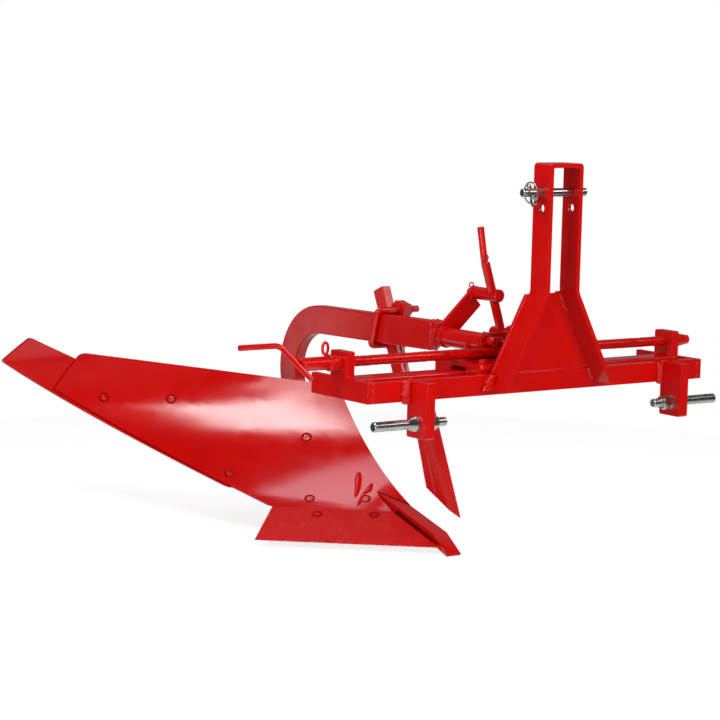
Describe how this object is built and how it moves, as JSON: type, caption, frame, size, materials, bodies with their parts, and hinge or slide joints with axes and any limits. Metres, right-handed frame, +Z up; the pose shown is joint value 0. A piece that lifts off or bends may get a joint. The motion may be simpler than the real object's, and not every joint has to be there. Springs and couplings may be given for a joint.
{
  "type": "single furrow plough",
  "caption": "Mounted mouldboard plough with an arched hitch mast, sliding screw-set carriage, tilting goose-neck beam, knife coulter, share and bar point.",
  "frame": {"origin": "midway between the two lower link pins, on their common axis", "axes": "+X across to the land side (the tractor's left), +Y rearwards along the furrow, +Z up"},
  "size_m": [1.2593, 1.3953, 0.9279],
  "materials": {
    "red_enamel": "glossy red enamel over welded steel",
    "zinc_plate": "bright zinc plate"
  },
  "bodies": {
    "headstock": {"front_bar": "red_enamel", "rear_bar": "red_enamel", "end_plate_land": "red_enamel", "end_plate_furrow": "red_enamel", "mast_strap": "red_enamel", "mast_gusset": "red_enamel", "lower_lug_land": "red_enamel", "lower_lug_furrow": "red_enamel", "lower_pin_land": "zinc_plate", "lower_pin_furrow": "zinc_plate", "lower_pin_nuts": "zinc_plate", "lower_pin_washers": "zinc_plate", "screw_block_land": "red_enamel", "screw_block_furrow": "red_enamel"},
    "top_pin": {"top_link_pin": "zinc_plate", "linch_pin": "zinc_plate"},
    "linch_ring": {"linch_ring": "zinc_plate"},
    "lateral_screw": {"lateral_screw": "red_enamel", "screw_collar": "red_enamel", "crank_sleeve": "red_enamel", "lateral_crank": "red_enamel", "crank_cotter": "red_enamel", "screw_end_nut": "red_enamel"},
    "carriage": {"carriage_plate": "red_enamel", "slide_shoe": "red_enamel", "front_guide": "red_enamel", "rear_guide": "red_enamel", "keeper_plate": "red_enamel", "carriage_bolts": "red_enamel", "carriage_upright": "red_enamel", "tube_saddle": "red_enamel", "pivot_tube": "red_enamel", "screw_nut": "red_enamel", "trunnion_lug": "red_enamel"},
    "lower_trunnion": {"lower_trunnion": "red_enamel", "trunnion_collar": "red_enamel"},
    "tilt_screw": {"tilt_screw": "red_enamel", "tilt_screw_nut": "red_enamel", "tilt_crank": "red_enamel"},
    "upper_trunnion": {"upper_trunnion": "red_enamel", "trunnion_cotter": "red_enamel"},
    "plough_beam": {"beam": "red_enamel", "pivot_shaft": "red_enamel", "pivot_retainer": "red_enamel", "tilt_lever": "red_enamel", "frog": "red_enamel", "leg_bolts": "red_enamel", "landside": "red_enamel", "landside_bolts": "red_enamel", "mouldboard": "red_enamel", "tail_extension": "red_enamel", "share": "red_enamel", "bar_point": "red_enamel", "plough_bolts": "red_enamel", "stay": "red_enamel", "u_bolt": "red_enamel", "clamp_plate": "red_enamel", "u_bolt_nuts": "red_enamel"},
    "coulter": {"coulter": "red_enamel"}
  },
  "joints": [
    {"name": "carriage_slide", "type": "slide", "parent": "headstock", "child": "carriage", "axis": [1, 0, 0], "range_m": [-0.29, 0.38]},
    {"name": "lateral_screw_turn", "type": "hinge", "parent": "headstock", "child": "lateral_screw", "pos_m": [0, 0.142, 0.1235], "axis": [1, 0, 0], "continuous": true},
    {"name": "beam_roll", "type": "hinge", "parent": "carriage", "child": "plough_beam", "pos_m": [-0.066, 0.23, 0.1415], "axis": [0, 1, 0], "range_deg": [-8, 8]},
    {"name": "lower_trunnion_swing", "type": "hinge", "parent": "carriage", "child": "lower_trunnion", "pos_m": [0.0437, 0.239, 0.1511], "axis": [0, 1, 0], "range_deg": [-6.5, 6.5]},
    {"name": "tilt_screw_turn", "type": "hinge", "parent": "lower_trunnion", "child": "tilt_screw", "pos_m": [0.0437, 0.239, 0.1511], "axis": [-0.3144, 0, 0.9493], "continuous": true},
    {"name": "upper_trunnion_swing", "type": "hinge", "parent": "plough_beam", "child": "upper_trunnion", "pos_m": [0.0135, 0.239, 0.2423], "axis": [0, 1, 0], "range_deg": [-2.4, 2.4]},
    {"name": "coulter_depth", "type": "slide", "parent": "plough_beam", "child": "coulter", "axis": [0, 0.4067, 0.9135], "range_m": [-0.05, 0.05]},
    {"name": "top_pin_float", "type": "slide", "parent": "headstock", "child": "top_pin", "axis": [1, 0, 0], "range_m": [-0.0015, 0.022]},
    {"name": "linch_ring_flip", "type": "hinge", "parent": "top_pin", "child": "linch_ring", "pos_m": [-0.08, -0.00458, 0.47433], "axis": [0, -0.8988, 0.4384], "range_deg": [0, 170]}
  ],
  "couplings": [
    {"joint": "lateral_screw_turn", "follows": "carriage_slide", "rad_per_m": -1256.6},
    {"joint": "lower_trunnion_swing", "follows": "beam_roll", "ratio": 0.736},
    {"joint": "upper_trunnion_swing", "follows": "beam_roll", "ratio": -0.264},
    {"joint": "tilt_screw_turn", "follows": "beam_roll", "ratio": 168.33}
  ]
}
